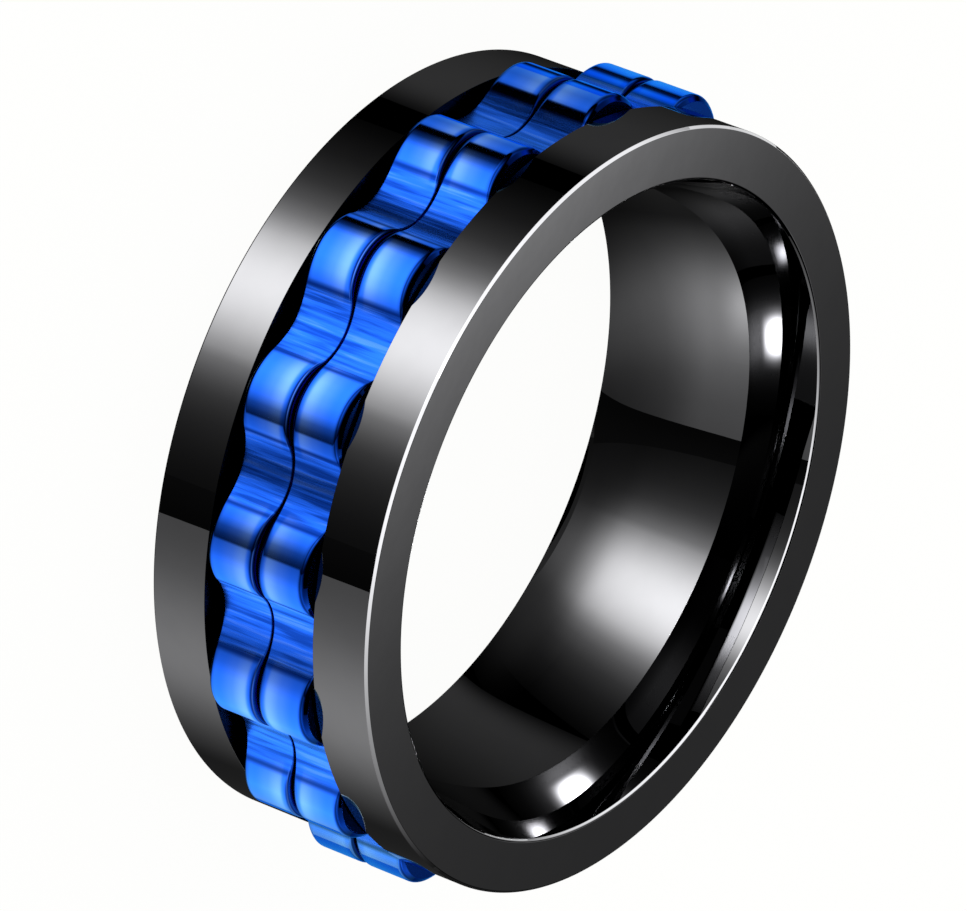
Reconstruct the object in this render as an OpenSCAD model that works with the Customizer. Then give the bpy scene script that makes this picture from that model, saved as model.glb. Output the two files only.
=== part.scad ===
// Spinner ring lying on its side: the ring axis is Z and the lower flange face is at Z = 0.
// Lengths are in millimetres.

/* [Band] */
// Diameter of the finger bore along its narrow straight middle
finger_bore_d = 19.4; // [17.8:0.4:22.2]
// Width of the whole band along the ring axis
band_width = 8.0; // [7:0.5:10]
// Thickness of each flange along the ring axis
flange_thickness = 1.98; // [1.6:0.05:2.2]
// Radial wall between the finger bore and the seat of the spinner
sleeve_wall = 0.75; // [0.7:0.05:1.0]
// Height of the flanges over the seat of the spinner
flange_height = 1.55; // [1.3:0.05:1.8]

/* [Comfort fit] */
// Length of the straight middle of the bore
bore_straight = 1.0; // [0.6:0.1:2]
// How far the domed bore has opened out, on the radius, at its mouth
comfort_rise = 0.6; // [0.4:0.05:0.7]
// Bevel between the domed bore and each flat face
mouth_bevel = 0.06; // [0.04:0.02:0.2]
// Bevel on the outer edge of each flat face
rim_bevel = 0.08; // [0.04:0.02:0.24]
// Bevel on the two edges of the spinner's channel
channel_bevel = 0.06; // [0.04:0.02:0.16]

/* [Spinner] */
// Number of teeth in each of the two rows
teeth = 16; // [12:1:20]
// How far the tooth crests stand above the flanges
crest_rise = 0.52; // [0.4:0.02:0.6]
// Depth of the valleys between the crests
tooth_depth = 1.07; // [0.8:0.05:1.1]
// Share of each tooth wave that is convex crest, the rest being concave valley
crest_share = 0.5; // [0.4:0.05:0.6]
// Width, below its bevels, of the groove that parts the two rows
row_groove_width = 0.16; // [0.12:0.02:0.3]
// Width of the floor of that groove
row_groove_floor = 0.08; // [0.04:0.02:0.1]
// How far that groove runs below the valleys
row_groove_extra = 0.12; // [0.04:0.02:0.2]
// Bevel between that groove and the crests, along the ring axis
groove_bevel_width = 0.12; // [0.04:0.02:0.16]
// The same bevel on the radius
groove_bevel_height = 0.1; // [0.04:0.02:0.14]
// Bevel on the crests towards each side, along the ring axis
side_bevel_width = 0.14; // [0.06:0.02:0.2]
// The same bevel on the radius
side_bevel_height = 0.18; // [0.1:0.02:0.3]

/* [Clearances] */
// Radial running clearance between the spinner and its seat
seat_clearance = 0.04; // [0.02:0.01:0.08]
// Gap between the spinner and the upper flange
upper_gap = 0.08; // [0.06:0.02:0.2]
// Gap between the spinner and the lower flange
lower_gap = 0.3; // [0.1:0.02:0.4]

/* [Hidden] */
$fn = 180;
// Tilt at which the domed part of the bore leaves the straight part, in degrees
dome_start_tilt = 3;
// Depth by which the crest and valley arcs cross, so that they meet at a clean corner
arc_overlap = 0.01;
// Length by which cutting shapes run past the metal
cut_past = 0.5;
// Overlap of the dome cut with the straight cut
dome_lead = 0.1;

bore_r = finger_bore_d / 2;
half_width = band_width / 2;
seat_r = bore_r + sleeve_wall;
flange_r = seat_r + flange_height;
mouth_r = bore_r + comfort_rise;
channel_half = half_width - flange_thickness;

half_straight = bore_straight / 2;
dome_length = half_width - mouth_bevel - half_straight;
dome_half_arc = atan(comfort_rise / dome_length) - dome_start_tilt;
dome_radius = sqrt(dome_length * dome_length + comfort_rise * comfort_rise) / (2 * sin(dome_half_arc));

crest_r = flange_r + crest_rise;
valley_r = crest_r - tooth_depth;
spinner_bore_r = seat_r + seat_clearance;
spinner_half = channel_half - (upper_gap + lower_gap) / 2;
spinner_lift = (lower_gap - upper_gap) / 2;
row_groove_r = valley_r - row_groove_extra;

// The crest arcs and valley arcs touch where the distance between their centres is the sum of their radii.
// That sum is the root of a quadratic equation with these three coefficients.
half_pitch = 180 / teeth;
pitch_term = 4 * pow(sin(half_pitch / 2), 2);
arc_a = -pitch_term * crest_share * (1 - crest_share);
arc_b = pitch_term * ((1 - crest_share) * crest_r - crest_share * valley_r) - 2 * tooth_depth;
arc_c = tooth_depth * tooth_depth + pitch_term * crest_r * valley_r;
arc_sum = (-arc_b - sqrt(arc_b * arc_b - 4 * arc_a * arc_c)) / (2 * arc_a);
crest_arc = crest_share * arc_sum + arc_overlap / 2;
valley_arc = (1 - crest_share) * arc_sum + arc_overlap / 2;
crest_centre = crest_r - crest_arc;
valley_centre = valley_r + valley_arc;

// Radius at which each crest arc hands over to a valley arc
hand_x = crest_centre + crest_share * (valley_centre * cos(half_pitch) - crest_centre);
hand_y = crest_share * valley_centre * sin(half_pitch);
root_r = sqrt(hand_x * hand_x + hand_y * hand_y);

module bore_dome_section() {
    difference() {
        translate([mouth_r - cut_past - comfort_rise, half_straight - dome_lead])
            square([comfort_rise + 2 * cut_past, dome_length + dome_lead + cut_past]);
        translate([
            bore_r + dome_radius * cos(dome_start_tilt),
            half_straight - dome_radius * sin(dome_start_tilt)
        ])
            circle(r = dome_radius);
    }
}

module mouth_bevel_section() {
    polygon([
        [bore_r - cut_past, half_width - mouth_bevel],
        [mouth_r, half_width - mouth_bevel],
        [mouth_r + mouth_bevel + cut_past, half_width + cut_past],
        [bore_r - cut_past, half_width + cut_past]
    ]);
}

module band_section() {
    difference() {
        polygon([
            [bore_r, -half_width],
            [flange_r - rim_bevel, -half_width],
            [flange_r, -half_width + rim_bevel],
            [flange_r, -channel_half - channel_bevel],
            [flange_r - channel_bevel, -channel_half],
            [seat_r, -channel_half],
            [seat_r, channel_half],
            [flange_r - channel_bevel, channel_half],
            [flange_r, channel_half + channel_bevel],
            [flange_r, half_width - rim_bevel],
            [flange_r - rim_bevel, half_width],
            [bore_r, half_width]
        ]);
        for (flip = [0, 1])
            mirror([0, flip]) {
                bore_dome_section();
                mouth_bevel_section();
            }
    }
}

module band() {
    color("#26262a")
        translate([0, 0, half_width])
            rotate_extrude()
                band_section();
}

module tooth_outline() {
    difference() {
        union() {
            circle(r = root_r);
            for (i = [0 : teeth - 1])
                rotate(2 * half_pitch * i)
                    translate([crest_centre, 0])
                        circle(r = crest_arc);
        }
        for (i = [0 : teeth - 1])
            rotate(2 * half_pitch * (i + 0.5))
                translate([valley_centre, 0])
                    circle(r = valley_arc);
        circle(r = spinner_bore_r);
    }
}

module row_groove_cut() {
    bevel_slope = groove_bevel_width / groove_bevel_height;
    bevel_r = crest_r - groove_bevel_height;
    mouth_half = row_groove_width / 2 + groove_bevel_width + bevel_slope * cut_past;
    rotate_extrude()
        polygon([
            [row_groove_r, -row_groove_floor / 2],
            [bevel_r, -row_groove_width / 2],
            [crest_r + cut_past, -mouth_half],
            [crest_r + cut_past, mouth_half],
            [bevel_r, row_groove_width / 2],
            [row_groove_r, row_groove_floor / 2]
        ]);
}

module side_bevel_cut() {
    bevel_slope = side_bevel_width / side_bevel_height;
    rotate_extrude()
        polygon([
            [crest_r - side_bevel_height - cut_past / 4, spinner_half + bevel_slope * cut_past / 4],
            [crest_r + cut_past, spinner_half - side_bevel_width - bevel_slope * cut_past],
            [crest_r + cut_past, spinner_half + bevel_slope * cut_past / 4]
        ]);
}

module spinner() {
    color("#1c50dc")
        translate([0, 0, half_width + spinner_lift])
            difference() {
                linear_extrude(height = 2 * spinner_half, center = true)
                    tooth_outline();
                row_groove_cut();
                for (flip = [0, 1])
                    mirror([0, 0, flip])
                        side_bevel_cut();
            }
}

band();
spinner();
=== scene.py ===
"""Looks of a spinner ring that lies on its side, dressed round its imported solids.

A glossy black band with a domed finger bore carries a blue ring with two rows of rounded teeth, which turns
in the channel between the band's flanges. Sizes are in millimetres. The meshes and the camera are placed in
metres, in the frame of the solids: the ring axis is Z, and the lower flange face lies at Z = 0.
"""

from __future__ import annotations

import logging
import math
from collections.abc import Sequence
from dataclasses import dataclass, field, replace
from enum import Enum

import bpy
import numpy as np
from mathutils import Matrix, Vector

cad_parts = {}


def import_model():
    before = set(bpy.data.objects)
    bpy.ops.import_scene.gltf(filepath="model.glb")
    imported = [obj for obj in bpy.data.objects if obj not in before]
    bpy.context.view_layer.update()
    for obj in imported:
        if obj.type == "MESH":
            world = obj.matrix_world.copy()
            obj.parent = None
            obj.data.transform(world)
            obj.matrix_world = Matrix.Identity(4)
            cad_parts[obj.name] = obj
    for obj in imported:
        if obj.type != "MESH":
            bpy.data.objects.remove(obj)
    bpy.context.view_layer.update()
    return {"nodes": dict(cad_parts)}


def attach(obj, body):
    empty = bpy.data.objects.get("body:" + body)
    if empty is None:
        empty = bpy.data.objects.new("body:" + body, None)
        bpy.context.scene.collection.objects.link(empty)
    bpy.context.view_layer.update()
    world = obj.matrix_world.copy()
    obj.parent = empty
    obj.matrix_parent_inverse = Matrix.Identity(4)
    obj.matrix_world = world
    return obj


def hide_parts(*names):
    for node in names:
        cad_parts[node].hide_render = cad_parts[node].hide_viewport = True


LOG = logging.getLogger("spinner_ring")
METRE = 0.001
PHOTO_WIDTH_PX = 967
SENSOR_WIDTH = 36.0

# Slack that tells a surface from its neighbours
EDGE_SLACK = 0.01
# Reflections of reflections have a greater glossy depth than this
SECOND_BOUNCE = 1.5
# Numbers of a Mix node's colour sockets, because its other sockets have the same names
MIX_COLOURS = (6, 7)
MIX_RESULT = 2

Pair = tuple[float, float]
Colour = tuple[float, float, float, float]
BLACK: Colour = (0.0, 0.0, 0.0, 1.0)
WHITE: Colour = (1.0, 1.0, 1.0, 1.0)
WARM_WHITE: Colour = (1.0, 1.0, 0.99, 1.0)


@dataclass(frozen=True)
class Corner:
    """One corner of a ring's cross-section, before it is rounded.

    Attributes:
        out: Place of the corner away from the ring axis.
        up: Place of the corner along the ring axis.
        radius: Radius that rounds the corner, or 0 where the section only bends.
        steps: Number of short sides that make up the rounding.
        radial: 1 where the surface follows the ring, 0 where it follows the teeth.
    """

    out: float
    up: float
    radius: float = 0.0
    steps: int = 6
    radial: float = 1.0


class Section:
    """A closed cross-section with rounded corners, drawn anticlockwise, with its outward normals."""

    def __init__(self, corners: Sequence[Corner]) -> None:
        """Rounds the corners.

        Args:
            corners: The corners in order, with the metal on the left of the way round.
        """
        places: list[Pair] = []
        normals: list[Pair] = []
        radial: list[float] = []
        for index, corner in enumerate(corners):
            before = corners[index - 1]
            after = corners[(index + 1) % len(corners)]
            self._round(before, corner, after, places, normals)
            added = len(places) - len(radial)
            follow = 1 if added < 2 else added - 1
            for step in range(added):
                share = step / follow
                start = 0.5 * (before.radial + corner.radial)
                end = 0.5 * (corner.radial + after.radial)
                radial.append(start + (end - start) * share)
        self.places = np.array(places)
        self.normals = np.array(normals)
        self.radial = np.array(radial)

    @staticmethod
    def _round(
        before: Corner, corner: Corner, after: Corner, places: list[Pair], normals: list[Pair]
    ) -> None:
        """Adds the points of one rounded corner.

        Args:
            before: The corner before this one.
            corner: The corner to round.
            after: The corner after this one.
            places: List that takes the points.
            normals: List that takes the outward normals.
        """
        way_in = np.array([corner.out - before.out, corner.up - before.up])
        way_out = np.array([after.out - corner.out, after.up - corner.up])
        way_in = way_in / np.linalg.norm(way_in)
        way_out = way_out / np.linalg.norm(way_out)
        turn = math.atan2(way_in[0] * way_out[1] - way_in[1] * way_out[0], float(way_in @ way_out))
        facing = math.atan2(-way_in[0], way_in[1])
        if corner.radius == 0.0:
            places.append((corner.out, corner.up))
            normals.append((math.cos(facing + turn / 2), math.sin(facing + turn / 2)))
            return
        bulge = math.copysign(corner.radius, turn)
        reach = corner.radius * math.tan(abs(turn) / 2)
        start_out = corner.out - way_in[0] * reach
        start_up = corner.up - way_in[1] * reach
        centre_out = start_out - bulge * math.cos(facing)
        centre_up = start_up - bulge * math.sin(facing)
        for step in range(corner.steps + 1):
            angle = facing + turn * step / corner.steps
            places.append((centre_out + bulge * math.cos(angle), centre_up + bulge * math.sin(angle)))
            normals.append((math.cos(angle), math.sin(angle)))


def add_object(name: str, data: bpy.types.ID) -> bpy.types.Object:
    """Adds an object with this data to the scene.

    Args:
        name: Name of the object.
        data: Its mesh or camera.

    Returns:
        The object.
    """
    made = bpy.data.objects.new(name, data)
    bpy.context.scene.collection.objects.link(made)
    return made


def ring_mesh(name: str, places: np.ndarray, normals: np.ndarray) -> bpy.types.Object:
    """Makes a closed ring-shaped mesh from a grid of points.

    Args:
        name: Name of the piece.
        places: Points in millimetres, by the step round the ring, then by the step round the section.
        normals: Outward normals of the points.

    Returns:
        The new object, linked to the scene.
    """
    around, across, _ = places.shape
    index = np.arange(around * across).reshape(around, across)
    next_around = np.roll(index, -1, axis=0)
    faces = np.stack(
        [index, next_around, np.roll(next_around, -1, axis=1), np.roll(index, -1, axis=1)], axis=-1
    ).reshape(-1, 4)
    mesh = bpy.data.meshes.new(name)
    mesh.from_pydata((places.reshape(-1, 3) * METRE).tolist(), [], faces.tolist())
    mesh.shade_smooth()
    mesh.normals_split_custom_set_from_vertices(normals.reshape(-1, 3).tolist())
    mesh.update()
    return add_object(name, mesh)


@dataclass
class Band:
    """The black band: a sleeve with a domed bore and two flanges, in one piece.

    Attributes:
        bore_diameter: Diameter of the bore in its middle.
        width: Width of the band along the ring axis.
        flange_thickness: Thickness of each flange along the ring axis.
        sleeve_wall: Wall between the bore and the seat of the toothed ring.
        flange_height: Height of the flanges over that seat.
        comfort_rise: How far the bore has opened out at its mouths, on the radius.
        mouth_bevel: Bevel between the bore and each flat face.
        rim_bevel: Bevel on the outer edge of each flat face.
        channel_bevel: Bevel on the edges of the channel.
        seat_fillet: Radius in the two inner corners of the channel.
        edge_round: Radius that breaks each bevel's edges.
        mouth_round: Radius that rounds the mouth's bevel into the flat face.
        dome_steps: Number of short sides in each half of the domed bore.
        segments: Number of steps round the ring.
    """

    bore_diameter: float = 19.4
    width: float = 8.0
    flange_thickness: float = 1.98
    sleeve_wall: float = 0.75
    flange_height: float = 1.55
    comfort_rise: float = 0.6
    mouth_bevel: float = 0.06
    rim_bevel: float = 0.08
    channel_bevel: float = 0.006
    seat_fillet: float = 0.08
    edge_round: float = 0.03
    mouth_round: float = 0.1
    dome_steps: int = 20
    segments: int = 640

    @property
    def bore_radius(self) -> float:
        """Radius of the bore in its middle."""
        return self.bore_diameter / 2

    @property
    def half_width(self) -> float:
        """Half of the band's width."""
        return self.width / 2

    @property
    def seat_radius(self) -> float:
        """Radius of the seat that carries the toothed ring."""
        return self.bore_radius + self.sleeve_wall

    @property
    def flange_radius(self) -> float:
        """Outer radius of the flanges."""
        return self.seat_radius + self.flange_height

    @property
    def channel_half(self) -> float:
        """Half of the channel's width."""
        return self.half_width - self.flange_thickness

    def _dome(self) -> list[Corner]:
        """Draws the domed bore as one arc.

        Returns:
            Its corners, from the upper mouth to the lower one.
        """
        mouth_up = self.half_width - self.mouth_bevel
        dome_radius = (mouth_up**2 + self.comfort_rise**2) / (2 * self.comfort_rise)
        half_arc = math.asin(mouth_up / dome_radius)
        corners = []
        for step in range(-self.dome_steps, self.dome_steps + 1):
            angle = -half_arc * step / self.dome_steps
            out = self.bore_radius + dome_radius * (1 - math.cos(angle))
            radius = self.edge_round if abs(step) == self.dome_steps else 0.0
            corners.append(Corner(out, dome_radius * math.sin(angle), radius))
        return corners

    def section(self) -> Section:
        """Draws the band's cross-section about the ring's middle plane.

        Returns:
            The rounded section.
        """
        face_inner = self.bore_radius + self.comfort_rise + self.mouth_bevel
        outer = self.flange_radius
        half = self.half_width
        channel = self.channel_half
        edge = self.edge_round
        channel_edge = self.channel_bevel / 2
        lower = [
            Corner(face_inner, -half, self.mouth_round),
            Corner(outer - self.rim_bevel, -half, edge),
            Corner(outer, self.rim_bevel - half, edge),
            Corner(outer, -channel - self.channel_bevel, channel_edge),
            Corner(outer - self.channel_bevel, -channel, channel_edge),
            Corner(self.seat_radius, -channel, self.seat_fillet),
        ]
        upper = [replace(corner, up=-corner.up) for corner in reversed(lower)]
        return Section([*lower, *upper, *self._dome()])

    def build(self) -> bpy.types.Object:
        """Turns the section about the ring axis.

        Returns:
            The band as one mesh.
        """
        section = self.section()
        places = self._turned(section.places + np.array([0.0, self.half_width]))
        return ring_mesh("polished_band", places, self._turned(section.normals))

    def _turned(self, pairs: np.ndarray) -> np.ndarray:
        """Repeats the section's points or normals at each step round the ring.

        Args:
            pairs: How far out and how far up each one is.

        Returns:
            The same in three numbers, by the step round the ring, then by the step round the section.
        """
        angles = np.arange(self.segments) * (2 * math.pi / self.segments)
        out = pairs[:, 0]
        up = np.broadcast_to(pairs[:, 1], (self.segments, len(pairs)))
        return np.stack([np.outer(np.cos(angles), out), np.outer(np.sin(angles), out), up], axis=2)

    def dress(self, piece: bpy.types.Object) -> None:
        """Gives the band's mesh its black plating, whose painted shade in the channel follows the band's
        sizes.

        Args:
            piece: The mesh.
        """
        plating = BlackPlating(self.half_width, self.channel_half, self.seat_radius)
        coat(piece, plating.make())


@dataclass(frozen=True)
class ToothArcs:
    """The two arcs that make up the wave of teeth.

    Attributes:
        crest_centre: Distance of the crest arc's centre from the ring axis.
        crest: Radius of the crest arc.
        valley_centre: Distance of the valley arc's centre from the ring axis.
        valley: Radius of the valley arc.
        lean: Angle from the radial line at which the arcs meet, in radians.
    """

    crest_centre: float
    crest: float
    valley_centre: float
    valley: float
    lean: float

    @property
    def root(self) -> float:
        """Radius from the ring axis at which the arcs meet."""
        out = self.crest_centre + self.crest * math.cos(self.lean)
        return math.hypot(out, self.crest * math.sin(self.lean))


@dataclass
class ToothedRing:
    """The blue ring that turns in the channel, with two rows of rounded teeth parted by a groove.

    Attributes:
        band: The band that carries it, whose sizes place it.
        teeth: Number of teeth in each row.
        crest_rise: How far the crests stand above the flanges.
        tooth_depth: Depth of the valleys between the crests.
        crest_share: Share of each tooth wave that is convex crest.
        groove_width: Width of the parting groove at the crests.
        groove_floor: Width of the groove's floor.
        groove_extra: How far the groove runs below the valleys.
        side_bevel_width: Bevel on the crests towards each side, along the ring axis.
        side_bevel_height: The same bevel into the crest.
        valley_bevel: Share of that bevel that is left in the valleys.
        seat_clearance: Running clearance on the seat, on the radius.
        upper_gap: Gap between the toothed ring and the upper flange.
        lower_gap: Gap between the toothed ring and the lower flange.
        crest_round: Radius that softens the crests' edges at the groove.
        side_round: Radius that softens the crests' edges at the sides.
        valley_round: Radius that breaks the valleys' edges.
        bore_round: Radius that breaks the bore's edges.
        flat_round: Radius that breaks the edge between each flat side and its bevel.
        floor_round: Radius in the corners of the groove's floor.
        fold_run: How far the groove's painted shade runs past its rounding on a crest.
        valley_fold_run: How far it runs past the groove in a valley.
        side_run: How far the painted shade at the sides runs in from the bevel on a crest.
        lip_run: How far below the groove the painted highlight line on its lower lip lies.
        crest_steps: Number of steps along each crest's arc.
        valley_steps: Number of steps along each valley's arc.
    """

    band: Band = field(default_factory=Band)
    teeth: int = 16
    crest_rise: float = 0.52
    tooth_depth: float = 1.07
    crest_share: float = 0.5
    groove_width: float = 0.09
    groove_floor: float = 0.06
    groove_extra: float = 0.12
    side_bevel_width: float = 0.14
    side_bevel_height: float = 0.18
    valley_bevel: float = 0.2
    seat_clearance: float = 0.04
    upper_gap: float = 0.08
    lower_gap: float = 0.3
    crest_round: float = 0.2
    side_round: float = 0.2
    valley_round: float = 0.03
    bore_round: float = 0.05
    flat_round: float = 0.018
    floor_round: float = 0.021
    fold_run: float = 0.09
    valley_fold_run: float = 0.04
    side_run: float = 0.16
    lip_run: float = 0.1
    crest_steps: int = 34
    valley_steps: int = 26

    @property
    def half_width(self) -> float:
        """Half of the toothed ring's width."""
        return self.band.channel_half - (self.upper_gap + self.lower_gap) / 2

    @property
    def middle(self) -> float:
        """Height of the toothed ring's middle plane."""
        return self.band.half_width + (self.lower_gap - self.upper_gap) / 2

    @property
    def bore_radius(self) -> float:
        """Radius of the bore that runs on the band's seat."""
        return self.band.seat_radius + self.seat_clearance

    @property
    def crest_radius(self) -> float:
        """Radius of the tooth crests."""
        return self.band.flange_radius + self.crest_rise

    @property
    def valley_radius(self) -> float:
        """Radius of the valleys' floors."""
        return self.crest_radius - self.tooth_depth

    def arcs(self) -> ToothArcs:
        """Works out the arcs of crest and valley, whose centres lie the sum of their radii apart.

        Returns:
            The two arcs.
        """
        half_pitch = math.pi / self.teeth
        pitch_term = 4 * math.sin(half_pitch / 2) ** 2
        share = self.crest_share
        square = -pitch_term * share * (1 - share)
        crest, valley = self.crest_radius, self.valley_radius
        linear = pitch_term * ((1 - share) * crest - share * valley) - 2 * self.tooth_depth
        constant = self.tooth_depth**2 + pitch_term * crest * valley
        arc_sum = (-linear - math.sqrt(linear**2 - 4 * square * constant)) / (2 * square)
        crest_centre = crest - share * arc_sum
        valley_centre = valley + (1 - share) * arc_sum
        across = valley_centre * math.sin(half_pitch)
        lean = math.atan2(across, valley_centre * math.cos(half_pitch) - crest_centre)
        return ToothArcs(crest_centre, share * arc_sum, valley_centre, (1 - share) * arc_sum, lean)

    def _wave(self) -> tuple[np.ndarray, np.ndarray]:
        """Draws the wave of crests and valleys, each an arc that meets the next one smoothly.

        Returns:
            The points of the wave in the ring's plane, and the angles of its outward normals in radians.
        """
        half_pitch = math.pi / self.teeth
        arcs = self.arcs()
        crest_angles = np.linspace(-arcs.lean, arcs.lean, self.crest_steps, endpoint=False)
        valley_angles = np.linspace(arcs.lean, 2 * half_pitch - arcs.lean, self.valley_steps, endpoint=False)
        crest = np.stack([np.cos(crest_angles), np.sin(crest_angles)], axis=1) * arcs.crest
        crest[:, 0] += arcs.crest_centre
        valley = -np.stack([np.cos(valley_angles), np.sin(valley_angles)], axis=1) * arcs.valley
        valley[:, 0] += arcs.valley_centre * math.cos(half_pitch)
        valley[:, 1] += arcs.valley_centre * math.sin(half_pitch)
        tooth = np.concatenate([crest, valley])
        tooth_angles = np.concatenate([crest_angles, valley_angles])
        points = []
        angles = []
        for number in range(self.teeth):
            turn = 2 * half_pitch * number
            cos_turn, sin_turn = math.cos(turn), math.sin(turn)
            points.append(tooth @ np.array([[cos_turn, sin_turn], [-sin_turn, cos_turn]]))
            angles.append(tooth_angles + turn)
        return np.concatenate(points), np.concatenate(angles)

    def _section(self, radius: float) -> Section:
        """Draws the cross-section at one point of the wave, with its heights counted from the wave.

        Args:
            radius: Radius of the wave there.

        Returns:
            The rounded section.
        """
        height = (radius - self.valley_radius) / self.tooth_depth
        crestness = height * height * (3 - 2 * height)
        groove_radius = self.valley_radius - self.groove_extra
        groove_depth = radius - groove_radius
        floor = self.groove_floor / 2
        full_depth = self.crest_radius - groove_radius
        mouth = floor + (self.groove_width - self.groove_floor) / 2 * groove_depth / full_depth
        bevel_share = self.valley_bevel + (1 - self.valley_bevel) * crestness
        bevel_up = self.side_bevel_width * bevel_share
        bevel_in = self.side_bevel_height * bevel_share
        groove_round = self.valley_round + (self.crest_round - self.valley_round) * crestness
        side_round = self.valley_round + (self.side_round - self.valley_round) * crestness
        half = self.half_width
        bore = self.bore_radius - radius
        lower = [
            Corner(bore, -half, self.bore_round, 3),
            Corner(-bevel_in, -half, self.flat_round, 3, radial=0.0),
            Corner(0.0, bevel_up - half, side_round, 5, radial=0.0),
            Corner(0.0, -mouth, groove_round, 8),
            Corner(-groove_depth, -floor, self.floor_round, 4),
        ]
        upper = [replace(corner, up=-corner.up) for corner in reversed(lower)]
        return Section([*lower, *upper])

    def build(self) -> bpy.types.Object:
        """Sweeps the section along the wave.

        Returns:
            The toothed ring as one mesh.
        """
        wave, facing = self._wave()
        rows = []
        row_normals = []
        for point, angle in zip(wave, facing):
            radius = float(np.hypot(*point))
            section = self._section(radius)
            wave_way = np.array([math.cos(angle), math.sin(angle)])
            ring_way = point / radius
            way = wave_way + (ring_way - wave_way) * section.radial[:, None]
            way /= np.linalg.norm(way, axis=1)[:, None]
            plane = point + way * section.places[:, :1]
            rows.append(np.column_stack([plane, section.places[:, 1] + self.middle]))
            row_normals.append(np.column_stack([way * section.normals[:, :1], section.normals[:, 1]]))
        return ring_mesh("toothed_ring", np.array(rows), np.array(row_normals))

    def dress(self, piece: bpy.types.Object) -> None:
        """Gives the toothed ring's mesh its blue plating, whose painted shade in the folds and creases and
        painted highlights follow the ring's sizes.

        Args:
            piece: The mesh.
        """
        groove = self.groove_width / 2
        plating = BluePlating(
            middle=self.middle,
            crest=self.crest_radius,
            valley=self.valley_radius,
            fold=groove + self.crest_round + self.fold_run,
            valley_fold=groove + self.valley_fold_run,
            side=self.half_width - self.side_bevel_width - self.side_run,
            flat_side=self.half_width - EDGE_SLACK,
            root=self.arcs().root,
            lip=-groove - self.lip_run,
        )
        coat(piece, plating.make())


@dataclass(frozen=True)
class PhotoCamera:
    """The camera, at the photograph's angle to the ring.

    Attributes:
        azimuth: Bearing of the camera round the ring, in degrees, where 0 looks along +Y.
        elevation: Height of the camera over the ring's plane, in degrees.
        roll: Turn of the picture about the line of sight, in degrees.
        distance: Distance from the ring's centre along the line of sight.
        focal_px: Focal length, in pixels of the photograph.
        shift_right: How far the ring's centre lies right of the line of sight.
        shift_down: How far the ring's centre lies below the line of sight.
        sight: Nearest and furthest distances that the camera sees, in metres.
    """

    azimuth: float = -1.6
    elevation: float = 31.94
    roll: float = 110.93
    distance: float = 331.76
    focal_px: float = 11079.0
    shift_right: float = 0.745
    shift_down: float = 0.465
    sight: Pair = (0.01, 20.0)

    def place(self, centre: Vector) -> bpy.types.Object:
        """Makes the camera and gives it to the scene.

        Args:
            centre: Centre of the ring, in metres.

        Returns:
            The camera.
        """
        bearing = math.radians(self.azimuth)
        height = math.radians(self.elevation)
        back = Vector(
            (math.sin(bearing) * math.cos(height), -math.cos(bearing) * math.cos(height), math.sin(height))
        )
        level = Vector((0, 0, 1)).cross(back).normalized()
        turn = Matrix.Rotation(math.radians(self.roll), 3, back)
        right = turn @ level
        upward = back.cross(right)
        camera = bpy.data.cameras.new("photo_camera")
        camera.sensor_width = SENSOR_WIDTH
        camera.lens = self.focal_px * SENSOR_WIDTH / PHOTO_WIDTH_PX
        camera.clip_start, camera.clip_end = self.sight
        made = add_object("photo_camera", camera)
        spot = centre + (back * self.distance - right * self.shift_right + upward * self.shift_down) * METRE
        made.matrix_world = Matrix.Translation(spot) @ Matrix((right, upward, back)).transposed().to_4x4()
        bpy.context.scene.camera = made
        return made


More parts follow.
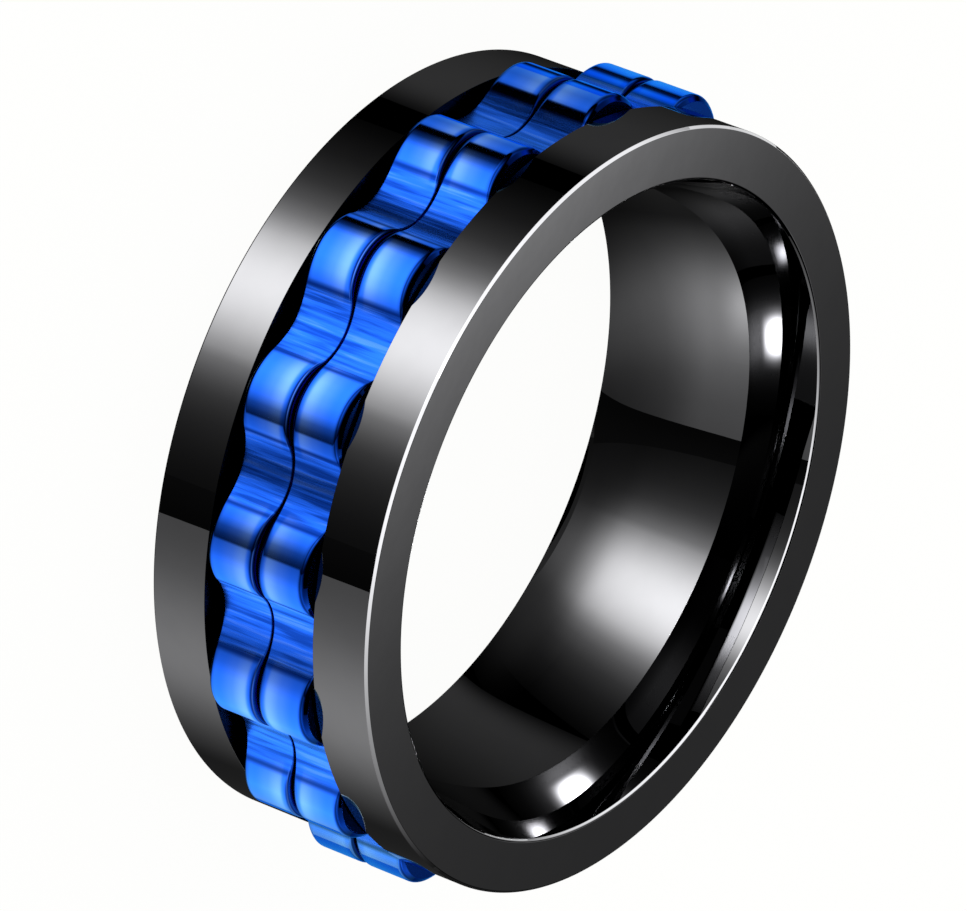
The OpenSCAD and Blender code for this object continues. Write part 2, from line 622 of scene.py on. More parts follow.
class Wire:
    """One socket of a shader, with arithmetic that adds the Math nodes it needs."""

    def __init__(self, desk: Desk, socket: bpy.types.NodeSocket | None) -> None:
        """Keeps the socket and the desk that it lies on."""
        self.desk = desk
        self.socket = socket

    def math(self, operation: str, *others: Wire | float) -> Wire:
        """Adds one Math node with this wire as its first value.

        Args:
            operation: Name of the operation.
            others: The other values.

        Returns:
            The result.
        """
        values = dict(enumerate((self, *others)))
        return self.desk.node("ShaderNodeMath", {"operation": operation}, values)

    def after(self, operation: str, first: float) -> Wire:
        """Adds one Math node with a number as its first value and this wire as its second."""
        return self.desk.node("ShaderNodeMath", {"operation": operation}, {0: first, 1: self})

    def __add__(self, other: Wire | float) -> Wire:
        """Adds."""
        return self.math("ADD", other)

    def __radd__(self, other: Wire | float) -> Wire:
        """Adds, from the right."""
        return self.math("ADD", other)

    def __sub__(self, other: Wire | float) -> Wire:
        """Subtracts."""
        return self.math("SUBTRACT", other)

    def __rsub__(self, other: float) -> Wire:
        """Subtracts this wire from a number."""
        return self.after("SUBTRACT", other)

    def __mul__(self, other: Wire | float) -> Wire:
        """Multiplies."""
        return self.math("MULTIPLY", other)

    def __rmul__(self, other: Wire | float) -> Wire:
        """Multiplies, from the right."""
        return self.math("MULTIPLY", other)

    def __truediv__(self, other: Wire | float) -> Wire:
        """Divides."""
        return self.math("DIVIDE", other)

    def __rtruediv__(self, other: float) -> Wire:
        """Divides a number by this wire."""
        return self.after("DIVIDE", other)

    def __pow__(self, other: Wire | float) -> Wire:
        """Raises to a power."""
        return self.math("POWER", other)

    def __rpow__(self, other: float) -> Wire:
        """Raises a number to the power of this wire."""
        return self.after("POWER", other)

    def __gt__(self, other: Wire | float) -> Wire:
        """Gives 1 where this wire is the greater, else 0."""
        return self.math("GREATER_THAN", other)

    def __lt__(self, other: Wire | float) -> Wire:
        """Gives 1 where this wire is the smaller, else 0."""
        return self.math("LESS_THAN", other)

    def most(self, other: Wire | float) -> Wire:
        """Gives the greater value."""
        return self.math("MAXIMUM", other)

    def least(self, other: Wire | float) -> Wire:
        """Gives the smaller value."""
        return self.math("MINIMUM", other)

    def size(self) -> Wire:
        """Gives the value without its sign."""
        return self.math("ABSOLUTE")

    def ease(self, low: float, high: float) -> Wire:
        """Rises smoothly from 0 to 1 between two values, or falls where the first is the greater.

        Args:
            low: Value where the result is 0.
            high: Value where the result is 1.

        Returns:
            The eased value.
        """
        inputs = {"Value": self, "From Min": min(low, high), "From Max": max(low, high)}
        rising = self.desk.node("ShaderNodeMapRange", {"interpolation_type": "SMOOTHSTEP"}, inputs)
        return rising if low < high else 1.0 - rising


class Curve(Enum):
    """How a curve runs between its stops."""

    STRAIGHT = "LINEAR"
    ROUND = "B_SPLINE"


class Desk:
    """A node tree on which a shader is wired."""

    def __init__(self, tree: bpy.types.NodeTree) -> None:
        """Clears the tree and keeps it."""
        tree.nodes.clear()
        self.tree = tree

    def node(
        self, kind: str, settings: dict[str, object], inputs: dict[str | int, object], output: str | int = 0
    ) -> Wire:
        """Adds a node.

        Args:
            kind: Type of the node.
            settings: Values of the node's own properties. A ramp's are its curve and its stops.
            inputs: Values or wires of its inputs, by name or by number.
            output: Name or number of the output that is wanted.

        Returns:
            That output, or an empty wire where the node has none.
        """
        made = self.tree.nodes.new(kind)
        for name, value in settings.items():
            if name == "color_ramp":
                self._shape(made.color_ramp, *value)
            else:
                setattr(made, name, value)
        for name, value in inputs.items():
            if isinstance(value, Wire):
                self.tree.links.new(value.socket, made.inputs[name])
            else:
                made.inputs[name].default_value = value
        return Wire(self, made.outputs[output] if made.outputs else None)

    def parts(self, value: Wire) -> list[Wire]:
        """Splits a vector into its three numbers."""
        first = self.node("ShaderNodeSeparateXYZ", {}, {"Vector": value})
        return [Wire(self, output) for output in first.socket.node.outputs]

    @staticmethod
    def _shape(ramp: bpy.types.ColorRamp, curve: Curve, stops: Sequence[Pair]) -> None:
        """Gives a ramp its curve and its stops.

        Args:
            ramp: The ramp.
            curve: How it runs between its stops.
            stops: Places from 0 to 1, each with its level from 0 to 1.
        """
        ramp.interpolation = curve.value
        while len(ramp.elements) > 1:
            ramp.elements.remove(ramp.elements[0])
        for number, (place, level) in enumerate(stops):
            stop = ramp.elements[0] if number == 0 else ramp.elements.new(place)
            stop.position = place
            stop.color = (level, level, level, 1.0)

    def ramp(self, value: Wire, curve: Curve, stops: Sequence[Pair]) -> Wire:
        """Looks a value up on a curve of levels."""
        return self.node("ShaderNodeValToRGB", {"color_ramp": (curve, stops)}, {"Fac": value})

    def blend(self, share: Wire | float, first: Wire | Colour, second: Wire | Colour) -> Wire:
        """Mixes two colours, by the share of the second one."""
        inputs = {0: share, MIX_COLOURS[0]: first, MIX_COLOURS[1]: second}
        return self.node("ShaderNodeMix", {"data_type": "RGBA"}, inputs, MIX_RESULT)

    def glow(self, colour: Wire | Colour, level: float) -> Wire:
        """Gives off light of a colour, at a level."""
        return self.node("ShaderNodeEmission", {}, {"Color": colour, "Strength": level})

    def metal(self, tone: Wire, haze: Wire, relief: Wire, depth: float, edge: Colour = WHITE) -> None:
        """Finishes the tree as metal with a fine relief.

        Args:
            tone: Colour that it reflects head on.
            haze: Its roughness.
            relief: The relief, from 0 to 1.
            depth: Depth of the relief, in metres.
            edge: Tint of the reflections that graze it.
        """
        bump = {"Height": relief, "Distance": depth, "Strength": 1.0}
        inputs = {
            "Base Color": tone,
            "Metallic": 1.0,
            "Roughness": haze,
            "Specular Tint": edge,
            "Normal": self.node("ShaderNodeBump", {}, bump, "Normal"),
        }
        self.finish(self.node("ShaderNodeBsdfPrincipled", {}, inputs))

    def finish(self, surface: Wire, kind: str = "ShaderNodeOutputMaterial") -> None:
        """Links a finished surface to the tree's output."""
        self.node(kind, {}, {"Surface": surface})


def coat(piece: bpy.types.Object, material: bpy.types.Material) -> None:
    """Gives a piece its one material."""
    piece.data.materials.clear()
    piece.data.materials.append(material)


def new_material(name: str) -> tuple[bpy.types.Material, Desk]:
    """Makes a material with an empty node tree.

    Args:
        name: Name of the material.

    Returns:
        The material, and the desk for its tree.
    """
    material = bpy.data.materials.new(name)
    material.use_nodes = True
    return material, Desk(material.node_tree)


def ring_place(desk: Desk, place: Wire, middle: float) -> tuple[Wire, Wire]:
    """Finds where a point of the surface lies on the ring.

    Args:
        desk: The desk on which the shader is wired.
        place: The point.
        middle: Height of the piece's middle plane.

    Returns:
        The point's distance from the ring axis, and its height over that plane.
    """
    across, along, up = desk.parts(place)
    return (across**2.0 + along**2.0) ** 0.5 / METRE, up / METRE - middle


@dataclass(frozen=True)
class BlackPlating:
    """Mirror-polished black plating, with painted shade in its channel.

    Attributes:
        middle: Height of the band's middle plane.
        channel_half: Half of the channel's width.
        seat: Radius of the channel's floor.
        colour: Colour that the polished metal reflects head on.
        low_colour: The same in the hollows of its last waves.
        channel_shade_colour: Painted shade in the channel, which is plated but not polished.
        channel_haze: Roughness of the channel.
        haze: Roughness of the polish.
        wave_depth: Depth of the last waves that polishing leaves, in metres.
        wave_scale: Number of those waves to a metre.
        wave_spread: Heights between which those waves change the colour, from 0 to 1.
    """

    middle: float
    channel_half: float
    seat: float
    colour: Colour = (0.16, 0.16, 0.165, 1.0)
    low_colour: Colour = (0.1552, 0.1552, 0.16005, 1.0)
    channel_shade_colour: Colour = (0.012, 0.012, 0.014, 1.0)
    channel_haze: float = 0.2
    haze: float = 0.0
    wave_depth: float = 0.0000004
    wave_scale: float = 900.0
    wave_spread: Pair = (0.3, 0.7)

    def make(self) -> bpy.types.Material:
        """Wires the plating.

        Returns:
            The material.
        """
        material, desk = new_material("black_plating")
        place = desk.node("ShaderNodeTexCoord", {}, {}, "Object")
        noise = {"Vector": place, "Scale": self.wave_scale, "Detail": 2.0}
        waves = desk.node("ShaderNodeTexNoise", {}, noise)
        tone = desk.blend(waves.ease(*self.wave_spread), self.low_colour, self.colour)
        radius, rise = ring_place(desk, place, self.middle)
        # Painted shade: the channel between the flanges is darkened, and its finish is rougher.
        past_seat = radius > self.seat - EDGE_SLACK
        between_walls = 1.0 - (rise.size() > self.channel_half + EDGE_SLACK)
        channel = past_seat * between_walls
        tone = desk.blend(channel, tone, self.channel_shade_colour)
        haze = channel * (self.channel_haze - self.haze) + self.haze
        desk.metal(tone, haze, waves, self.wave_depth)
        return material


@dataclass(frozen=True)
class BluePlating:
    """Royal blue metallic plating, brushed across the valleys, with painted shade in the folds and creases
    and painted highlights on the crests.

    Attributes:
        middle: Height of the toothed ring's middle plane.
        crest: Radius of the crests.
        valley: Radius of the valleys.
        fold: Distance from the middle plane at which the groove's rolled edge ends on a crest.
        valley_fold: The same distance in a valley.
        side: Distance from the middle plane at which the side's rolled edge begins on a crest.
        flat_side: Distance from the middle plane at which the flat side begins.
        root: Radius at which the crests' arcs meet the valleys'.
        lip: Height over the middle plane of the painted highlight line on the groove's lower lip.
        colour: Colour of the polished metal.
        streak_colour: Colour of the darker brushed lines.
        fold_shade_colour: Painted shade on the rolled edges beside the groove, at the sides and over the
            flat sides.
        crease_shade_colour: Painted shade in the creases between crests and valleys.
        painted_highlight_colour: Colour of the painted highlights: the crests' paler middles, the paler
            brushed lines and the thin line at the groove's lip.
        painted_glow_colour: Colour of the painted highlight on the palest part of each crest, beside the
            groove.
        edge_colour: Tint of the reflections that graze the metal.
        haze: Roughness of the polished crests.
        brushed_haze: Roughness of the brushed valleys.
        side_haze: Roughness of the flat sides.
        crest_spread: From how far over the valley to how far under the crest the crests' looks fade in.
        brush_spread: From how far over the root to how far under it the brushing fades in.
        grain_scale: Number of brushed lines to a metre, each way.
        grain_depth: Depth of the brushed lines, in metres.
        streaks: Levels of the grain between which the darker lines fade in.
        glints: Levels of the grain between which the paler brushed lines fade in, grain lightened as painted
            highlight.
        painted_sheen_reach: Distances from the middle plane between which the painted highlight on the
            crests fades in and out.
        painted_glow_reach: The same for the painted highlight on the palest part.
        crease_lift: How far over the root the painted shade in the creases is darkest.
        crease_reach: How far from there they fade out.
        fold_fade: Distance in which the painted shade on the groove's rolled edge fades out in a valley.
        fold_stretch: Share by which that fade is slower on a crest.
        side_fade: Distance in which the painted shade on the sides' rolled edge fades in.
        lip_reach: Half of the painted highlight line's width.
        streak_share: Strength of the darker lines, and likewise for the other shares.
    """

    middle: float
    crest: float
    valley: float
    fold: float
    valley_fold: float
    side: float
    flat_side: float
    root: float
    lip: float
    colour: Colour = (0.016, 0.138, 0.95, 1.0)
    streak_colour: Colour = (0.001, 0.025, 0.26, 1.0)
    fold_shade_colour: Colour = (0.001, 0.03, 0.3, 1.0)
    crease_shade_colour: Colour = (0.001, 0.018, 0.19, 1.0)
    painted_highlight_colour: Colour = (0.09, 0.26, 1.0, 1.0)
    painted_glow_colour: Colour = (0.22, 0.45, 1.0, 1.0)
    edge_colour: Colour = (0.62, 1.0, 1.0, 1.0)
    haze: float = 0.06
    brushed_haze: float = 0.22
    side_haze: float = 0.2
    crest_spread: Pair = (0.2, 0.1)
    brush_spread: Pair = (0.1, 0.06)
    grain_scale: tuple[float, float, float] = (5200.0, 5200.0, 300.0)
    grain_depth: float = 0.00001
    streaks: Pair = (0.45, 0.66)
    glints: Pair = (0.44, 0.32)
    painted_sheen_reach: tuple[Pair, Pair] = ((0.2, 0.5), (1.4, 0.7))
    painted_glow_reach: tuple[Pair, Pair] = ((0.3, 0.42), (0.9, 0.45))
    crease_lift: float = 0.03
    crease_reach: float = 0.13
    fold_fade: float = 0.08
    fold_stretch: float = 0.6
    side_fade: float = 0.22
    lip_reach: float = 0.03
    streak_share: float = 0.75
    painted_sheen_share: float = 0.55
    glint_share: float = 0.5
    painted_glow_share: float = 0.4
    crease_share: float = 0.9
    side_share: float = 0.9
    lip_share: float = 0.7

    def make(self) -> bpy.types.Material:
        """Wires the plating.

        Returns:
            The material.
        """
        material, desk = new_material("blue_plating")
        place = desk.node("ShaderNodeTexCoord", {}, {}, "Object")
        radius, rise = ring_place(desk, place, self.middle)
        height = rise.size()
        over_valley, under_crest = self.crest_spread
        crestness = radius.ease(self.valley + over_valley, self.crest - under_crest)
        over_root, under_root = self.brush_spread
        brushed = radius.ease(self.root + over_root, self.root - under_root)
        inputs = {0: place, 1: self.grain_scale}
        stretched = desk.node("ShaderNodeVectorMath", {"operation": "MULTIPLY"}, inputs)
        grain = desk.node("ShaderNodeTexNoise", {}, {"Vector": stretched, "Scale": 1.0, "Detail": 3.0})
        streaks = grain.ease(*self.streaks) * brushed
        # Paler brushed lines: real grain, lightened in the painted highlight colour.
        glints = grain.ease(*self.glints) * brushed
        # Painted highlights: a paler middle on each crest, and a palest part beside the groove.
        painted_sheen, glow = (
            crestness * height.ease(*fade_out) * height.ease(*fade_in)
            for fade_in, fade_out in (self.painted_sheen_reach, self.painted_glow_reach)
        )
        # Painted shade: a dark line along the creases where crests meet valleys.
        crease_shade = (radius - self.root - self.crease_lift).size().ease(self.crease_reach, 0.0)
        # Painted shade: darker on the rolled edges beside the groove, at the crests' sides and over the flat
        # sides.
        inside_fold = self.valley_fold + crestness * (self.fold - self.valley_fold) - height
        near_groove = (inside_fold * (1.0 - self.fold_stretch * crestness)).ease(0.0, self.fold_fade)
        near_side = height.ease(self.side, self.side + self.side_fade)
        flat_side = height > self.flat_side
        # Painted highlight: a thin bright line along the groove's lower lip on the crests.
        lip = (rise - self.lip).size().ease(self.lip_reach, 0.0) * crestness
        painted_fold_shade = near_groove.most(near_side * crestness).most(flat_side * self.side_share)
        tone = self.colour
        for share, colour in (
            (streaks * self.streak_share, self.streak_colour),
            (painted_sheen * self.painted_sheen_share + glints * self.glint_share, self.painted_highlight_colour),
            # Painted highlight: the palest part of each crest, beside the groove.
            (glow * self.painted_glow_share, self.painted_glow_colour),
            (crease_shade * self.crease_share, self.crease_shade_colour),
            (painted_fold_shade, self.fold_shade_colour),
            (lip * self.lip_share, self.painted_highlight_colour),
        ):
            tone = desk.blend(share, tone, colour)
        haze = (brushed * (self.brushed_haze - self.haze) + self.haze).most(flat_side * self.side_haze)
        desk.metal(tone, haze, grain * brushed, self.grain_depth, self.edge_colour)
        return material


class Reach(Enum):
    """Which reflections a card shows in."""

    MIRROR = "all reflections in mirror-polished metal"
    FIRST = "reflections that the eye sees in mirror-polished metal"
    INNER = "reflections of reflections in mirror-polished metal"
    BACKDROP = "reflections of reflections, where it hides what stands behind it"
    BRUSHED = "reflections in softly polished and brushed metal"


@dataclass(frozen=True)
class Card:
    """A curved card of light that stands round the ring and shows in its polished faces alone.

    Attributes:
        name: Name of the card.
        radius: Distance from the ring's axis.
        start: Bearing of its first edge, in degrees.
        end: Bearing of its last edge, in degrees.
        bottom: Height of its lower edge.
        top: Height of its upper edge.
        level: Brightest level on the card.
        around: Levels along it, from 0 to 1, each after its bearing in degrees. A lone one holds all along.
        upward: Levels up it, from 0 to 1, each after its height. A lone one holds all the way up.
        lean: How much further its last edge reaches round at its foot, in degrees.
        bow: Power by which the lean grows downwards.
        echo: Share of its level that is left in reflections of reflections.
        curve: How its levels run along its bearing.
        reach: Which reflections it shows in.
        tint: Colour of its light.
        around_steps: Number of steps along it.
        up_steps: Number of steps up it.
    """

    name: str
    radius: float
    start: float
    end: float
    bottom: float
    top: float
    level: float
    around: tuple[Pair, ...] = ((0.0, 1.0),)
    upward: tuple[Pair, ...] = ((0.0, 1.0),)
    lean: float = 0.0
    bow: float = 1.0
    echo: float = 1.0
    curve: Curve = Curve.ROUND
    reach: Reach = Reach.MIRROR
    tint: Colour = WHITE
    around_steps: int = 60
    up_steps: int = 40

    def build(self) -> bpy.types.Object:
        """Makes the card's mesh, with its bearing and height as a UV map.

        Returns:
            The card.
        """
        vertices = []
        places = []
        for step in range(self.around_steps + 1):
            share = step / self.around_steps
            for up_step in range(self.up_steps + 1):
                up_share = up_step / self.up_steps
                lean = self.lean * (1.0 - up_share) ** self.bow
                bearing = self.start + (self.end + lean - self.start) * share
                height = self.bottom + (self.top - self.bottom) * up_share
                angle = math.radians(bearing)
                spot = (self.radius * math.cos(angle), self.radius * math.sin(angle), height)
                vertices.append(tuple(part * METRE for part in spot))
                places.append((share, up_share))
        row = self.up_steps + 1
        faces = [
            (first, first + row, first + row + 1, first + 1)
            for step in range(self.around_steps)
            for first in range(step * row, step * row + self.up_steps)
        ]
        return stand_card(self.name, vertices, faces, places, self._light())

    def _light(self) -> bpy.types.Material:
        """Wires the card's light, which is clear to the reflections that it doesn't show in.

        Returns:
            The material.
        """
        material, desk = new_material(self.name)
        along, up, _ = desk.parts(desk.node("ShaderNodeTexCoord", {}, {}, "UV"))
        wide, tall = self.end - self.start, self.top - self.bottom
        around_stops = [((bearing - self.start) / wide, level) for bearing, level in self.around]
        upward_stops = [((height - self.bottom) / tall, level) for height, level in self.upward]
        light = desk.ramp(along, self.curve, around_stops) * desk.ramp(up, Curve.ROUND, upward_stops)
        mirrored = desk.node("ShaderNodeLightPath", {}, {}, "Is Singular Ray")
        inner = desk.node("ShaderNodeLightPath", {}, {}, "Glossy Depth") > SECOND_BOUNCE
        clear = desk.node("ShaderNodeBsdfTransparent", {}, {})
        if self.reach in (Reach.FIRST, Reach.INNER):
            depth = inner if self.reach is Reach.INNER else 1.0 - inner
            veil = desk.glow(light * mirrored * depth, self.level)
            desk.finish(desk.node("ShaderNodeAddShader", {}, {0: clear, 1: veil}))
            return material
        colour = desk.blend(light * (1.0 - inner * (1.0 - self.echo)), BLACK, self.tint)
        glow = desk.glow(colour, self.level)
        shown = {
            Reach.MIRROR: mirrored,
            Reach.BACKDROP: mirrored * inner,
            Reach.BRUSHED: 1.0 - mirrored,
        }[self.reach]
        desk.finish(desk.node("ShaderNodeMixShader", {}, {0: shown, 1: clear, 2: glow}))
        return material


def stand_card(
    name: str,
    vertices: Sequence[tuple[float, float, float]],
    faces: Sequence[tuple[int, int, int, int]],
    places: Sequence[Pair],
    material: bpy.types.Material,
) -> bpy.types.Object:
    """Stands a card of light in the studio, out of sight of all but polished faces.

    Args:
        name: Name of the card.
        vertices: Its points, in metres.
        faces: Its faces.
        places: The place of each point on the card, from 0 to 1 each way.
        material: Its light.

    Returns:
        The card.
    """
    mesh = bpy.data.meshes.new(name)
    mesh.from_pydata(list(vertices), [], list(faces))
    uv_map = mesh.uv_layers.new(name="spread")
    for loop in mesh.loops:
        uv_map.data[loop.index].uv = places[loop.vertex_index]
    card = add_object(name, mesh)
    card.visible_camera = False
    card.visible_diffuse = False
    card.visible_shadow = False
    card.visible_transmission = False
    material.cycles.emission_sampling = "NONE"
    coat(card, material)
    return card


CARDS = (
    Card(
        "soft_glow", 140.0, 185.0, 303.0, -289.0, -18.0, 5.6,
        around=(
            (185, 0.0), (200, 0.009), (210, 0.03), (217, 0.085), (222, 0.18), (226, 0.34), (230, 0.58),
            (235, 0.82), (240, 0.96), (245, 1.0), (250, 0.94), (255, 0.76), (260, 0.53), (265, 0.3),
            (268, 0.17), (273, 0.08), (278, 0.036), (285, 0.017), (294, 0.008), (303, 0.004),
        ),
        upward=(
            (-289, 0.04), (-231, 0.06), (-198, 0.11), (-163, 0.31), (-134, 0.72), (-106, 0.87), (-61, 1.0),
        ),
    ),
    Card(
        "mouth_glow", 92.0, 200.0, 303.0, -12.0, 130.0, 5.2,
        around=(
            (200, 0.04), (216, 0.045), (226, 0.06), (234, 0.13), (240, 0.45), (246, 0.95), (252, 1.0),
            (258, 0.75), (264, 0.35), (270, 0.11), (277, 0.03), (290, 0.012), (303, 0.01),
        ),
    ),
    Card(
        "low_glow", 130.0, 170.0, 303.0, -290.0, -115.0, 0.11,
        around=(
            (170, 0.0), (185, 0.25), (200, 0.75), (215, 1.0), (250, 0.9), (270, 0.55), (288, 0.3),
            (303, 0.2),
        ),
        upward=((-290, 1.0), (-200, 1.0), (-165, 0.7), (-140, 0.25), (-115, 0.0)),
        reach=Reach.FIRST,
    ),
    Card(
        "grey_wall_right", 250.0, 300.0, 450.0, -620.0, 40.0, 1.2,
        around=(
            (300, 0.25), (318, 0.32), (330, 0.46), (340, 0.75), (350, 0.94), (357, 1.0), (365, 0.93),
            (375, 0.55), (385, 0.24), (396, 0.08), (405, 0.025),
        ),
        upward=(
            (-620, 0.15), (-433, 0.21), (-357, 0.25), (-290, 0.3), (-222, 0.42), (-178, 0.65), (-140, 1.0),
        ),
        echo=0.45,
    ),
    Card(
        "grey_core", 240.0, 335.0, 385.0, -135.0, -30.0, 1.5,
        around=((335, 0.0), (343, 0.1), (352, 0.7), (359, 1.0), (366, 0.6), (374, 0.1), (385, 0.0)),
        upward=((-135, 0.0), (-118, 0.02), (-104, 0.35), (-90, 0.9), (-75, 1.0)),
        reach=Reach.FIRST,
    ),
    Card(
        "black_flag", 48.0, 300.0, 308.7, -115.0, 45.0, 0.018,
        around=((300, 1.0), (305, 0.6), (308, 0.5)),
        lean=24.4,
        bow=3.2,
        echo=0.0,
    ),
    Card(
        "grey_wall_left", 72.0, 85.0, 187.0, -150.0, 0.0, 0.175,
        around=(
            (85, 0.01), (97, 0.02), (107, 0.05), (119, 0.1), (132, 0.22), (143, 0.36), (153, 0.52),
            (166, 0.76), (175, 0.8), (181, 0.5), (187, 0.05),
        ),
        lean=-36.0,
        echo=0.4,
    ),
    Card(
        "rim_light", 81.0, 100.0, 150.0, -14.0, 26.0, 3.2,
        around=((100, 0.0), (108, 0.3), (118, 0.75), (128, 1.0), (140, 1.0), (150, 0.5)),
        upward=((-14, 0.2), (-4, 0.7), (8, 1.0), (26, 0.7)),
        reach=Reach.FIRST,
    ),
    Card(
        "high_light", 80.0, 110.0, 400.0, 14.0, 200.0, 6.5,
        around=(
            (110, 0.0), (127, 0.4), (153, 1.0), (305, 1.0), (330, 0.7), (350, 0.35), (370, 0.2), (400, 0.0),
        ),
        upward=((14, 0.1), (25, 0.3), (42, 1.0)),
        reach=Reach.FIRST,
    ),
    Card("low_crest_backdrop", 16.0, 318.0, 398.0, 6.5, 16.0, 0.06, reach=Reach.BACKDROP),
    Card(
        "hot_core", 90.0, 215.0, 275.0, -66.0, -4.0, 260.0,
        around=(
            (215, 0.0), (223, 0.0), (229, 0.08), (236, 0.6), (244, 1.0), (252, 0.6), (259, 0.08),
            (265, 0.0), (275, 0.0),
        ),
        upward=(
            (-66, 0.0), (-60, 0.0), (-53, 0.08), (-41, 0.5), (-29, 1.0), (-20, 0.7), (-14, 0.15),
            (-9, 0.0), (-4, 0.0),
        ),
        reach=Reach.INNER,
    ),
    Card(
        "inner_glow", 100.0, -15.0, 125.0, 51.0, 135.0, 31.0,
        around=(
            (-15, 0.0), (15, 0.04), (25, 0.2), (33, 0.65), (42, 0.95), (55, 1.0), (63, 0.95), (76, 0.28),
            (90, 0.08), (105, 0.03), (125, 0.0),
        ),
        upward=((51, 0.0), (57, 1.0)),
        reach=Reach.INNER,
    ),
    Card(
        "brushed_top", 390.0, 52.0, 148.0, -760.0, 520.0, 1.2,
        around=(
            (52, 0.55), (60, 0.6), (90, 0.68), (115, 0.85), (123, 0.7), (128, 0.0), (134, 0.05),
            (140, 0.75), (148, 0.65),
        ),
        upward=(
            (-760, 0.1), (-530, 0.4), (-400, 0.9), (-250, 1.0), (-120, 0.8), (-20, 0.4), (85, 0.25),
            (187, 1.0), (290, 0.4), (520, 0.1),
        ),
        curve=Curve.STRAIGHT,
        reach=Reach.BRUSHED,
        tint=(0.05, 0.4, 1.0, 1.0),
    ),
    Card(
        "brushed_surround", 400.0, 0.0, 360.0, -760.0, 520.0, 2.2,
        around=(
            (0, 0.78), (20, 0.86), (40, 0.55), (60, 0.25), (140, 0.3), (152, 0.3), (162, 0.26), (175, 0.36),
            (180, 0.3), (182, 0.0), (191, 0.0), (199, 0.06), (206, 0.3), (214, 0.75), (225, 0.9), (236, 1.0),
            (248, 1.0), (262, 0.85), (275, 0.55), (288, 0.16), (297, 0.06), (304.5, 0.02), (306, 0.24),
            (320, 0.36), (335, 0.62), (360, 0.78),
        ),
        upward=(
            (-760, 0.1), (-530, 0.4), (-400, 0.9), (-250, 1.0), (-120, 0.8), (-20, 0.3), (85, 0.15),
            (187, 1.0), (290, 0.3), (520, 0.1),
        ),
        curve=Curve.STRAIGHT,
        reach=Reach.BRUSHED,
    ),
)


@dataclass(frozen=True)
class FaceCard:
    """A flat card that the ring's upper face mirrors, brighter towards one corner.

    Attributes:
        distance: Distance from the middle of the ring's upper face.
        azimuth: Bearing of its middle, in degrees.
        elevation: Height of its middle, in degrees.
        reach: Half of its side.
        foot: Height of the ring's upper face.
        dimness: Natural logarithm of the level at its darkest corner.
        rise_across: How much that logarithm grows across the card.
        rise_up: How much that logarithm grows up the card.
        least: Level that is there all over the card.
        most: Greatest level that is added to it.
        edge_fade: Distances from its middle, as shares of its side, between which its edges fade in.
    """

    distance: float = 300.0
    azimuth: float = 88.4
    elevation: float = 31.3
    reach: float = 40.0
    foot: float = 8.0
    dimness: float = -11.33
    rise_across: float = 4.86
    rise_up: float = 12.8
    least: float = 0.108
    most: float = 0.8
    edge_fade: Pair = (0.5, 0.32)

    def build(self) -> bpy.types.Object:
        """Makes the card.

        Returns:
            The card.
        """
        bearing = math.radians(self.azimuth)
        height = math.radians(self.elevation)
        level = math.cos(height)
        away = Vector((math.cos(bearing) * level, math.sin(bearing) * level, math.sin(height)))
        left = Vector((0, 0, 1)).cross(away).normalized()
        upward = away.cross(left)
        middle = away * self.distance + Vector((0, 0, self.foot))
        places = ((0, 0), (1, 0), (1, 1), (0, 1))
        corners = [
            tuple((middle + (left * (2 * across - 1) + upward * (2 * up - 1)) * self.reach) * METRE)
            for across, up in places
        ]
        material, desk = new_material("face_card")
        across, up, _ = desk.parts(desk.node("ShaderNodeTexCoord", {}, {}, "UV"))
        rise = (across * self.rise_across + up * self.rise_up + self.dimness).math("EXPONENT")
        edge = (across - 0.5).size().ease(*self.edge_fade) * (up - 0.5).size().ease(*self.edge_fade)
        desk.finish(desk.glow((rise.least(self.most) + self.least) * edge, 1.0))
        return stand_card("face_card", corners, [(0, 1, 2, 3)], places, material)


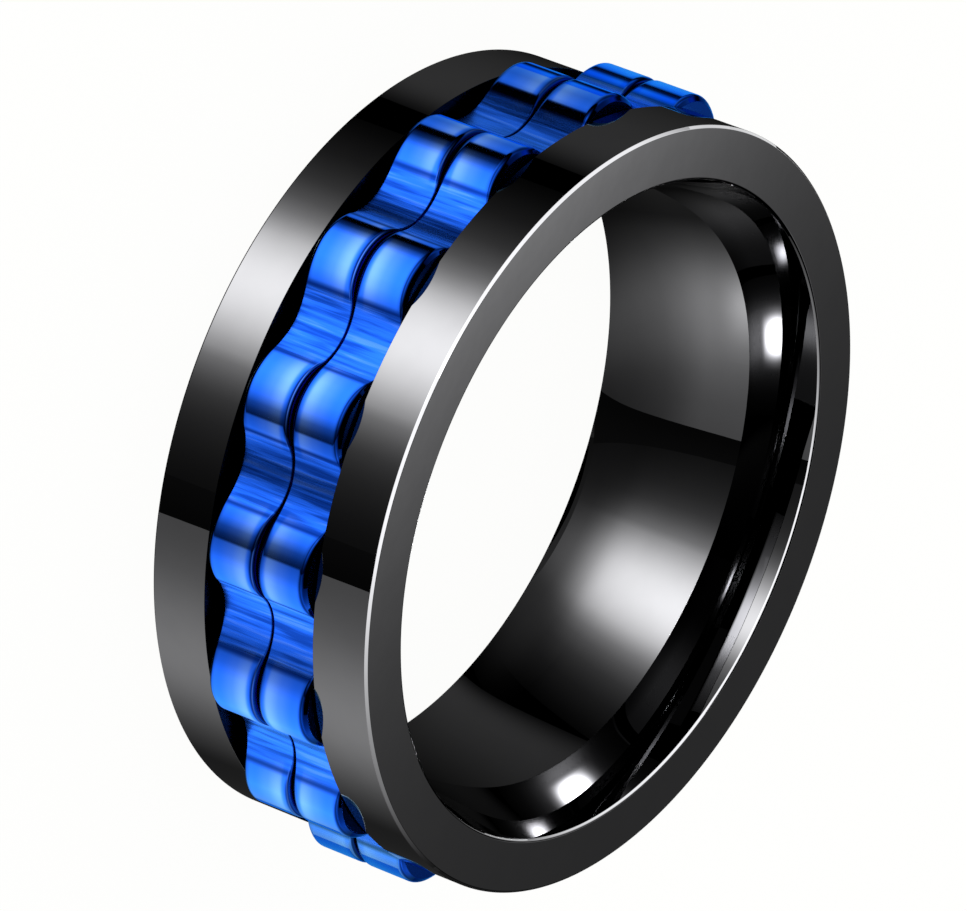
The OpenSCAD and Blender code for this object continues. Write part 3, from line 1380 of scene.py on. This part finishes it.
@dataclass(frozen=True)
class Studio:
    """A white floor in soft white light, with the cards that the polished faces mirror.

    Attributes:
        floor_reach: Half of the floor's side, in metres.
        floor_own_light: Share of the floor's white that no shadow dims.
        floor_colour: Colour of the rest.
    """

    floor_reach: float = 3.0
    floor_own_light: float = 0.96
    floor_colour: Colour = (0.98, 0.98, 0.97, 1.0)

    def build(self) -> None:
        """Makes the world, the floor and the cards."""
        self._world()
        self._floor()
        for card in (*CARDS, FaceCard()):
            report(card.build())

    def _world(self) -> None:
        """Wires a white sky that the polished faces see as black."""
        world = bpy.data.worlds.new("white_sky")
        bpy.context.scene.world = world
        world.use_nodes = True
        desk = Desk(world.node_tree)
        mirrored = desk.node("ShaderNodeLightPath", {}, {}, "Is Glossy Ray")
        white = desk.blend(mirrored, WARM_WHITE, BLACK)
        sky = desk.node("ShaderNodeBackground", {}, {"Color": white, "Strength": 1.0})
        desk.finish(sky, "ShaderNodeOutputWorld")

    def _floor(self) -> None:
        """Makes the floor that the ring lies on."""
        reach = self.floor_reach
        mesh = bpy.data.meshes.new("studio_floor")
        corners = [(-reach, -reach, 0.0), (reach, -reach, 0.0), (reach, reach, 0.0), (-reach, reach, 0.0)]
        mesh.from_pydata(corners, [], [(0, 1, 2, 3)])
        floor = add_object("studio_floor", mesh)
        floor.visible_glossy = False
        material, desk = new_material("studio_floor")
        lit = desk.node("ShaderNodeBsdfDiffuse", {}, {"Color": self.floor_colour})
        own = desk.glow(WARM_WHITE, 1.0)
        desk.finish(desk.node("ShaderNodeMixShader", {}, {0: self.floor_own_light, 1: lit, 2: own}))
        material.cycles.emission_sampling = "NONE"
        coat(floor, material)
        report(floor)


def report(piece: bpy.types.Object) -> None:
    """Logs a piece that has been built."""
    LOG.info("%s: %d faces", piece.name, len(piece.data.polygons))


def main() -> None:
    """Builds the ring, its studio and its camera in order."""
    logging.basicConfig(level=logging.INFO, format="%(message)s")
    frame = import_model()
    LOG.info("%d solids to dress", len(frame["nodes"]))
    band = Band()
    band_piece = band.build()
    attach(band_piece, "band")
    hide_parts("band")
    band.dress(band_piece)
    report(band_piece)
    toothed = ToothedRing(band)
    ring_piece = toothed.build()
    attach(ring_piece, "spinner")
    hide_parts("spinner")
    toothed.dress(ring_piece)
    report(ring_piece)
    Studio().build()
    PhotoCamera().place(Vector((0, 0, band.half_width * METRE)))
    bpy.context.scene.view_settings.view_transform = "Standard"


if __name__ == "__main__":
    main()
